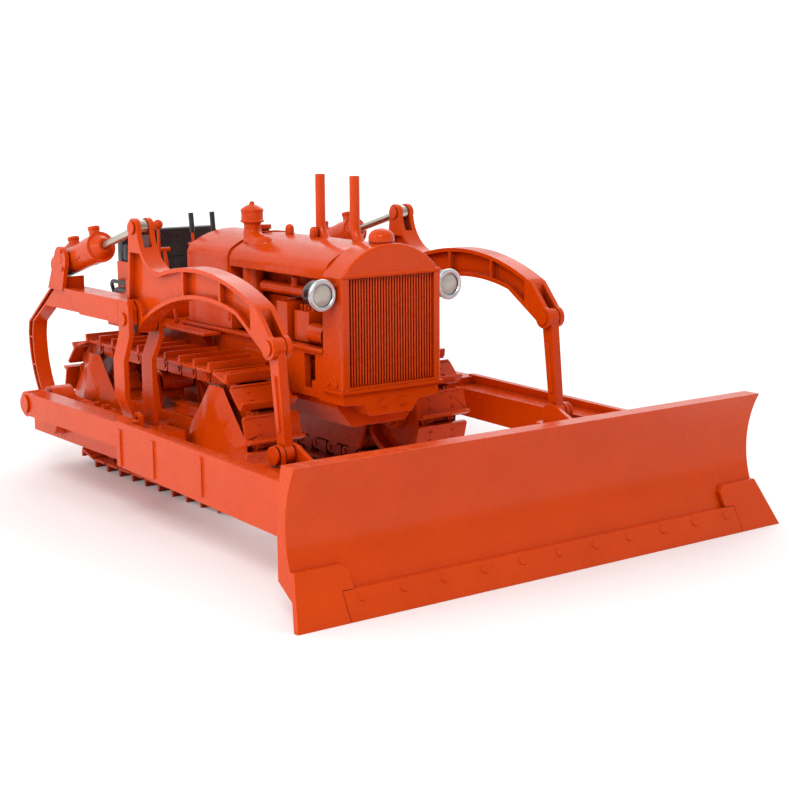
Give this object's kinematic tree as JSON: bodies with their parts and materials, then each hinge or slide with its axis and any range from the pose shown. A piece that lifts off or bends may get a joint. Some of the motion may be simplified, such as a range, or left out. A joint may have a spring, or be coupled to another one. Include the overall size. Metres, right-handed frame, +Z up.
{
  "type": "toy bulldozer",
  "caption": "Die-cast style toy crawler bulldozer with hydraulic lift arms, a raising front blade, tracks on turning wheels, a bench seat and a rear drawbar.",
  "frame": {"origin": "on the ground under the middle of the model's overall box", "axes": "+Z up, +Y towards the drawbar (rear), +X towards the driver's left; the blade faces -Y"},
  "size_m": [0.2896, 0.3846, 0.173],
  "materials": {
    "orange_paint": "gloss",
    "dark_core": "satin",
    "black_paint": "gloss",
    "lamp_chrome": "polished",
    "lamp_lens": "frosted",
    "seat_plastic": "gloss",
    "black_plastic": "gloss",
    "hose_black": "satin",
    "rod_steel": "brushed"
  },
  "bodies": {
    "root": {"main_frame": "orange_paint", "transmission_case": "orange_paint", "engine_block": "orange_paint", "intake_manifolds": "orange_paint", "air_cleaner": "orange_paint", "generator": "orange_paint", "radiator_shell": "orange_paint", "radiator_grille": "orange_paint", "hood": "orange_paint", "cowl": "orange_paint", "filler_caps": "orange_paint", "exhaust_stacks": "orange_paint", "precleaner": "orange_paint", "operator_platform": "orange_paint", "seat_box": "orange_paint", "control_levers": "orange_paint", "drawbar": "orange_paint", "track_frames": "orange_paint", "track_chains": "orange_paint", "track_shoes": "orange_paint", "track_guards": "orange_paint", "side_rails": "orange_paint", "uprights": "orange_paint", "upper_beams": "orange_paint", "pivot_pins": "orange_paint", "radiator_core": "dark_core", "headlight_shells": "black_paint", "headlight_rims": "lamp_chrome", "headlight_lenses": "lamp_lens", "seat": "seat_plastic", "lever_grips": "black_plastic", "hydraulic_hoses": "hose_black"},
    "blade": {"blade": "orange_paint", "cutting_edges": "orange_paint", "push_arm_left": "orange_paint", "push_arm_right": "orange_paint"},
    "lift_arm_left": {"lift_arm_left": "orange_paint", "link_pin_left": "orange_paint"},
    "lift_link_left": {"lift_link_left": "orange_paint"},
    "cylinder_left": {"cylinder_left": "orange_paint"},
    "rod_left": {"rod_left": "rod_steel"},
    "sprocket_left": {"sprocket_left": "orange_paint"},
    "idler_left": {"idler_left": "orange_paint"},
    "carrier_roller_left": {"carrier_roller_left": "orange_paint"},
    "track_roller_left_1": {"track_roller_left_1": "orange_paint"},
    "track_roller_left_2": {"track_roller_left_2": "orange_paint"},
    "track_roller_left_3": {"track_roller_left_3": "orange_paint"},
    "track_roller_left_4": {"track_roller_left_4": "orange_paint"},
    "lift_arm_right": {"lift_arm_right": "orange_paint", "link_pin_right": "orange_paint"},
    "lift_link_right": {"lift_link_right": "orange_paint"},
    "cylinder_right": {"cylinder_right": "orange_paint"},
    "rod_right": {"rod_right": "rod_steel"},
    "sprocket_right": {"sprocket_right": "orange_paint"},
    "idler_right": {"idler_right": "orange_paint"},
    "carrier_roller_right": {"carrier_roller_right": "orange_paint"},
    "track_roller_right_1": {"track_roller_right_1": "orange_paint"},
    "track_roller_right_2": {"track_roller_right_2": "orange_paint"},
    "track_roller_right_3": {"track_roller_right_3": "orange_paint"},
    "track_roller_right_4": {"track_roller_right_4": "orange_paint"}
  },
  "joints": [
    {"name": "blade_lift", "type": "hinge", "parent": "root", "child": "blade", "pos_m": [0, 0.1285, 0.045], "axis": [-1, 0, 0], "range_deg": [0, 11]},
    {"name": "lift_arm_left", "type": "hinge", "parent": "root", "child": "lift_arm_left", "pos_m": [0.0845, 0.0475, 0.0995], "axis": [-1, 0, 0], "range_deg": [0, 18.5]},
    {"name": "lift_link_left", "type": "hinge", "parent": "lift_arm_left", "child": "lift_link_left", "pos_m": [0.0845, -0.085, 0.099], "axis": [-1, 0, 0], "range_deg": [-17, 0]},
    {"name": "cylinder_left", "type": "hinge", "parent": "root", "child": "cylinder_left", "pos_m": [0.0845, 0.1235, 0.12506], "axis": [-1, 0, 0], "range_deg": [0, 2.5]},
    {"name": "rod_left", "type": "slide", "parent": "cylinder_left", "child": "rod_left", "axis": [0, 0.9626, -0.2708], "range_m": [0, 0.015]},
    {"name": "sprocket_left", "type": "hinge", "parent": "root", "child": "sprocket_left", "pos_m": [0.054, 0.142, 0.03964], "axis": [1, 0, 0], "continuous": true},
    {"name": "idler_left", "type": "hinge", "parent": "root", "child": "idler_left", "pos_m": [0.054, 0.0025, 0.03964], "axis": [1, 0, 0], "continuous": true},
    {"name": "carrier_roller_left", "type": "hinge", "parent": "root", "child": "carrier_roller_left", "pos_m": [0.054, 0.072, 0.06029], "axis": [1, 0, 0], "continuous": true},
    {"name": "track_roller_left_1", "type": "hinge", "parent": "root", "child": "track_roller_left_1", "pos_m": [0.054, 0.038, 0.0195], "axis": [1, 0, 0], "continuous": true},
    {"name": "track_roller_left_2", "type": "hinge", "parent": "root", "child": "track_roller_left_2", "pos_m": [0.054, 0.059, 0.0195], "axis": [1, 0, 0], "continuous": true},
    {"name": "track_roller_left_3", "type": "hinge", "parent": "root", "child": "track_roller_left_3", "pos_m": [0.054, 0.08, 0.0195], "axis": [1, 0, 0], "continuous": true},
    {"name": "track_roller_left_4", "type": "hinge", "parent": "root", "child": "track_roller_left_4", "pos_m": [0.054, 0.101, 0.0195], "axis": [1, 0, 0], "continuous": true},
    {"name": "lift_arm_right", "type": "hinge", "parent": "root", "child": "lift_arm_right", "pos_m": [-0.0845, 0.0475, 0.0995], "axis": [-1, 0, 0], "range_deg": [0, 18.5]},
    {"name": "lift_link_right", "type": "hinge", "parent": "lift_arm_right", "child": "lift_link_right", "pos_m": [-0.0845, -0.085, 0.099], "axis": [-1, 0, 0], "range_deg": [-17, 0]},
    {"name": "cylinder_right", "type": "hinge", "parent": "root", "child": "cylinder_right", "pos_m": [-0.0845, 0.1235, 0.12506], "axis": [-1, 0, 0], "range_deg": [0, 2.5]},
    {"name": "rod_right", "type": "slide", "parent": "cylinder_right", "child": "rod_right", "axis": [0, 0.9626, -0.2708], "range_m": [0, 0.015]},
    {"name": "sprocket_right", "type": "hinge", "parent": "root", "child": "sprocket_right", "pos_m": [-0.054, 0.142, 0.03964], "axis": [1, 0, 0], "continuous": true},
    {"name": "idler_right", "type": "hinge", "parent": "root", "child": "idler_right", "pos_m": [-0.054, 0.0025, 0.03964], "axis": [1, 0, 0], "continuous": true},
    {"name": "carrier_roller_right", "type": "hinge", "parent": "root", "child": "carrier_roller_right", "pos_m": [-0.054, 0.072, 0.06029], "axis": [1, 0, 0], "continuous": true},
    {"name": "track_roller_right_1", "type": "hinge", "parent": "root", "child": "track_roller_right_1", "pos_m": [-0.054, 0.038, 0.0195], "axis": [1, 0, 0], "continuous": true},
    {"name": "track_roller_right_2", "type": "hinge", "parent": "root", "child": "track_roller_right_2", "pos_m": [-0.054, 0.059, 0.0195], "axis": [1, 0, 0], "continuous": true},
    {"name": "track_roller_right_3", "type": "hinge", "parent": "root", "child": "track_roller_right_3", "pos_m": [-0.054, 0.08, 0.0195], "axis": [1, 0, 0], "continuous": true},
    {"name": "track_roller_right_4", "type": "hinge", "parent": "root", "child": "track_roller_right_4", "pos_m": [-0.054, 0.101, 0.0195], "axis": [1, 0, 0], "continuous": true}
  ],
  "couplings": [
    {"joint": "lift_arm_left", "follows": "blade_lift", "ratio": 1.6574},
    {"joint": "lift_link_left", "follows": "blade_lift", "ratio": -1.5304},
    {"joint": "cylinder_left", "follows": "blade_lift", "ratio": 0.2095},
    {"joint": "rod_left", "follows": "blade_lift", "m_per_rad": 0.076962},
    {"joint": "idler_left", "follows": "sprocket_left", "ratio": 1},
    {"joint": "carrier_roller_left", "follows": "sprocket_left", "ratio": 4.9906},
    {"joint": "track_roller_left_1", "follows": "sprocket_left", "ratio": 4.6067},
    {"joint": "track_roller_left_2", "follows": "sprocket_left", "ratio": 4.6067},
    {"joint": "track_roller_left_3", "follows": "sprocket_left", "ratio": 4.6067},
    {"joint": "track_roller_left_4", "follows": "sprocket_left", "ratio": 4.6067},
    {"joint": "lift_arm_right", "follows": "blade_lift", "ratio": 1.6574},
    {"joint": "lift_link_right", "follows": "blade_lift", "ratio": -1.5304},
    {"joint": "cylinder_right", "follows": "blade_lift", "ratio": 0.2095},
    {"joint": "rod_right", "follows": "blade_lift", "m_per_rad": 0.076962},
    {"joint": "idler_right", "follows": "sprocket_right", "ratio": 1},
    {"joint": "carrier_roller_right", "follows": "sprocket_right", "ratio": 4.9906},
    {"joint": "track_roller_right_1", "follows": "sprocket_right", "ratio": 4.6067},
    {"joint": "track_roller_right_2", "follows": "sprocket_right", "ratio": 4.6067},
    {"joint": "track_roller_right_3", "follows": "sprocket_right", "ratio": 4.6067},
    {"joint": "track_roller_right_4", "follows": "sprocket_right", "ratio": 4.6067}
  ]
}
